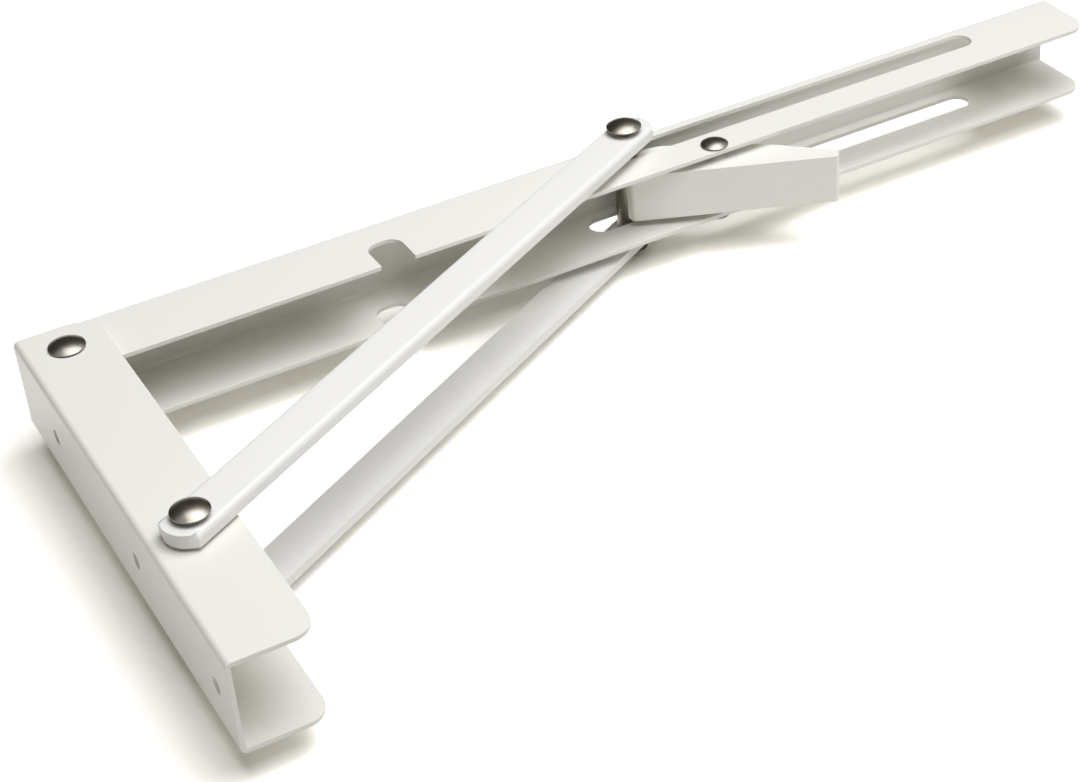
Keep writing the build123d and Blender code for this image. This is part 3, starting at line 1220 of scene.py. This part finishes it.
@dataclass
class Lever:
    """The release lever: a moulded wedge whose nose stands up in front of the slider sleeve.

    Attributes:
        linkage: the shared places.
        width: width of the moulding.
        edge_radius: rounding of its edges.
        edge_steps: segments across it.
        sleeve_radius: radius of the slider sleeve, which rests on the saddle behind the nose.
        fit: gap between the sleeve and the saddle.
        near_boss: radius of the near boss round the pin.
        far_boss: radius of the far boss, which the spring is wound round.
        boss_end: where both bosses end, from the middle plane.
        boss_steps: segments round them.
    """

    linkage: Linkage
    width: float = 16.8 * MM
    edge_radius: float = 1.1 * MM
    edge_steps: int = 4
    sleeve_radius: float = 4.0 * MM
    fit: float = 0.3 * MM
    near_boss: float = 3.5 * MM
    far_boss: float = 3.3 * MM
    boss_end: float = 10.8 * MM
    boss_steps: int = 48

    def corners(self) -> list[Corner]:
        """The side view about the pin: x along the arm, y up.

        Returns:
            The corners, from the saddle's end along the underside, round the tail and back over the nose.
        """
        seat = self.linkage.lever_drop - self.sleeve_radius - self.fit
        return [Corner(-29.2 * MM, 4.1 * MM, 1.0 * MM), Corner(32.3 * MM, -23.6 * MM, 1.2 * MM),
                Corner(34.7 * MM, -20.5 * MM, 1.6 * MM), Corner(16.3 * MM, -1.7 * MM, 6.0 * MM),
                Corner(-6.5 * MM, 13.0 * MM, 3.0 * MM), Corner(-12.0 * MM, 16.5 * MM, 3.0 * MM),
                Corner(-18.2 * MM, 17.2 * MM, 1.2 * MM), Corner(-21.9 * MM, 12.3 * MM, 3.0 * MM),
                Corner(-23.7 * MM, seat, 0.6 * MM), Corner(-29.2 * MM, seat, 1.0 * MM)]

    def build(self, finish: bpy.types.Material) -> None:
        """Makes the wedge and its two bosses.

        Args:
            finish: the plastic.
        """
        pivot = self.linkage.lever_pivot
        mesh = Workshop.plate(self.corners(), ())
        Workshop.thicken(mesh, self.width)
        Workshop.round_rims(mesh, self.edge_radius, self.edge_steps)
        for radius, side in ((self.near_boss, Side.NEAR), (self.far_boss, Side.FAR)):
            middle = Matrix.Translation((0.0, 0.0, -side.value * self.boss_end / 2 - self.width / 2))
            bmesh.ops.create_cone(mesh, cap_ends=True, cap_tris=False, segments=self.boss_steps,
                                  radius1=radius, radius2=radius, depth=self.boss_end, matrix=middle)
        stand = Matrix.Translation((pivot.x, -self.width / 2, pivot.z))
        bmesh.ops.transform(mesh, matrix=stand @ Matrix.Rotation(math.pi / 2, 4, "X"), verts=mesh.verts)
        piece = Workshop.deliver(mesh, "release_lever_moulded", finish)
        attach(piece, Body.LEVER.value)
        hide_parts("release_lever")


# ---------------------------------------------------------------- studio
@dataclass(frozen=True)
class SoftBox:
    """One square lamp.

    Attributes:
        name: the lamp's name.
        place: where it hangs.
        target: what it points at.
        size: its side.
        watts: its power.
        colour: its light.
    """

    name: str
    place: Point
    target: Point
    size: float
    watts: float
    colour: Colour

    def hang(self) -> None:
        """Adds the lamp to the scene."""
        data = bpy.data.lights.new(self.name, "AREA")
        data.shape = "SQUARE"
        data.size = self.size
        data.energy = self.watts
        data.color = self.colour
        lamp = bpy.data.objects.new(self.name, data)
        lamp.location = self.place
        lamp.rotation_euler = (Vector(self.target) - Vector(self.place)).to_track_quat("-Z", "Y").to_euler()
        bpy.context.scene.collection.objects.link(lamp)


@dataclass
class Studio:
    """Camera, lamps, world and floor.

    Attributes:
        eye: the camera's place.
        ahead: the way it looks.
        up: the picture's upward direction.
        lens: focal length in millimetres.
        sensor: width of the camera's sensor in millimetres.
        clips: nearest and furthest distance that the camera sees.
        floor_gap: gap between the bracket's far side and the floor.
        floor_reach: half of the floor's side.
        world_light: strength of the light from all around.
        world_colour: its colour.
        wall_top: height on the sky sphere where the white walls that mirrors see begin to darken.
        ceiling_edge: height on it where the ceiling's own tone begins.
        ceiling: the ceiling's tone.
        lamps: the soft boxes in front of the bracket.
    """

    eye: Point = (-0.106982, -0.387061, -0.593523)
    ahead: Point = (0.34770663, 0.57524359, 0.74040186)
    up: Point = (0.32673084, -0.81451569, 0.47938622)
    lens: float = 77.77
    sensor: float = 36.0
    clips: tuple[float, float] = (0.01, 20.0)
    floor_gap: float = 0.4 * MM
    floor_reach: float = 2.0
    world_light: float = 0.115
    world_colour: Colour = (1.0, 0.965, 0.82)
    wall_top: float = 0.2
    ceiling_edge: float = 0.55
    ceiling: Colour = (0.1, 0.09, 0.065)
    lamps: tuple[SoftBox, ...] = (
        SoftBox("key", (0.34, -1.0, -0.24), (0.15, 0.0, -0.06), 1.15, 12.9, (0.97, 0.965, 1.0)),
        SoftBox("core", (0.36, -1.0, -0.18), (0.15, 0.0, -0.06), 0.5, 2.3, (0.97, 0.965, 1.0)))

    def camera(self) -> None:
        """Stands the camera at the viewing angle."""
        data = bpy.data.cameras.new("view")
        data.lens = self.lens
        data.sensor_width = self.sensor
        data.sensor_fit = "HORIZONTAL"
        data.clip_start, data.clip_end = self.clips
        camera = bpy.data.objects.new("view", data)
        back = -Vector(self.ahead).normalized()
        up = Vector(self.up).normalized()
        right = up.cross(back).normalized()
        turn = Matrix((right, back.cross(right), back)).transposed().to_4x4()
        camera.matrix_world = Matrix.Translation(self.eye) @ turn
        bpy.context.scene.collection.objects.link(camera)
        bpy.context.scene.camera = camera

    def world(self) -> None:
        """White walls and a dim ceiling for the camera, mirrors and glass, a plain soft light for the rest.

        The walls and ceiling are a ramp over the height of the direction looked in.
        """
        shader = Shader.of_world("studio")
        light = shader.node("ShaderNodeBackground", {}, {"Color": rgba(self.world_colour),
                                                         "Strength": self.world_light})
        way = shader.node("ShaderNodeTexCoord", {}, {}, "Generated")
        height = shader.node("ShaderNodeSeparateXYZ", {}, {0: way}, "Z")
        stops = ((self.wall_top, (1.0, 1.0, 1.0)), (self.ceiling_edge, self.ceiling))
        colour = shader.node("ShaderNodeValToRGB", {"stops": stops}, {0: height})
        room = shader.node("ShaderNodeBackground", {}, {"Color": colour})
        mixed = shader.node("ShaderNodeMixShader", {}, {0: shader.seen(), 1: light, 2: room})
        bpy.context.scene.world = shader.finish(mixed)

    def floor(self) -> None:
        """A board that the bracket's far side lies on, as wide as the view needs."""
        low, high = (Vector(corner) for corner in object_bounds())
        middle = (low + high) / 2
        mesh = bmesh.new()
        stand = Matrix.Translation((middle.x, high.y + self.floor_gap, middle.z))
        bmesh.ops.create_grid(mesh, x_segments=1, y_segments=1, size=self.floor_reach,
                              matrix=stand @ Matrix.Rotation(math.pi / 2, 4, "X"))
        data = bpy.data.meshes.new("studio_floor")
        mesh.to_mesh(data)
        mesh.free()
        board = bpy.data.objects.new("studio_floor", data)
        board.data.materials.append(StudioFloor().build())
        board.visible_shadow = False
        bpy.context.scene.collection.objects.link(board)
        board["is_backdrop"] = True

    def build(self) -> None:
        """Sets the whole studio up."""
        self.camera()
        self.world()
        self.floor()
        for lamp in self.lamps:
            lamp.hang()
        bpy.context.scene.view_settings.view_transform = "Standard"


@dataclass
class Bracket:
    """The whole folding bracket.

    Attributes:
        linkage: the places that its sub-assemblies share.
    """

    linkage: Linkage = field(default_factory=Linkage)

    def build(self) -> None:
        """Makes the finishes and dresses every sub-assembly."""
        coat = PowderCoat("channel_coat", (0.825, 0.82, 0.765)).build()
        brace_coat = PowderCoat("brace_coat", (0.835, 0.833, 0.80), 0.3).build()
        nickel = DarkNickel("rivet_nickel", (0.25, 0.232, 0.2)).build()
        steel = PlatedSteel("sleeve_steel", (0.22, 0.20, 0.17)).build()
        wire = PlatedSteel("spring_steel", (0.45, 0.45, 0.44), 0.28).build()
        plastic = MouldedPlastic("lever_plastic", (0.85, 0.845, 0.79)).build()
        Channels(self.linkage).build(coat)
        Braces(self.linkage).build(brace_coat)
        Rivets(self.linkage).build(nickel, steel)
        Lever(self.linkage).build(plastic)
        Spring(self.linkage).build(wire)
        self.dress("slider_rivet_shank", nickel)

    @staticmethod
    def dress(node: str, finish: bpy.types.Material) -> None:
        """Gives a CAD node that stays its finish.

        Args:
            node: the CAD node.
            finish: the material.
        """
        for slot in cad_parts[node].material_slots:
            slot.material = finish
        LOG.info("%s: CAD mesh kept", node)


def main() -> None:
    """Builds the bracket and its studio."""
    logging.basicConfig(level=logging.INFO, format="%(name)s: %(message)s")
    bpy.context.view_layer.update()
    Bracket().build()
    Studio().build()


if __name__ == "__main__":
    main()
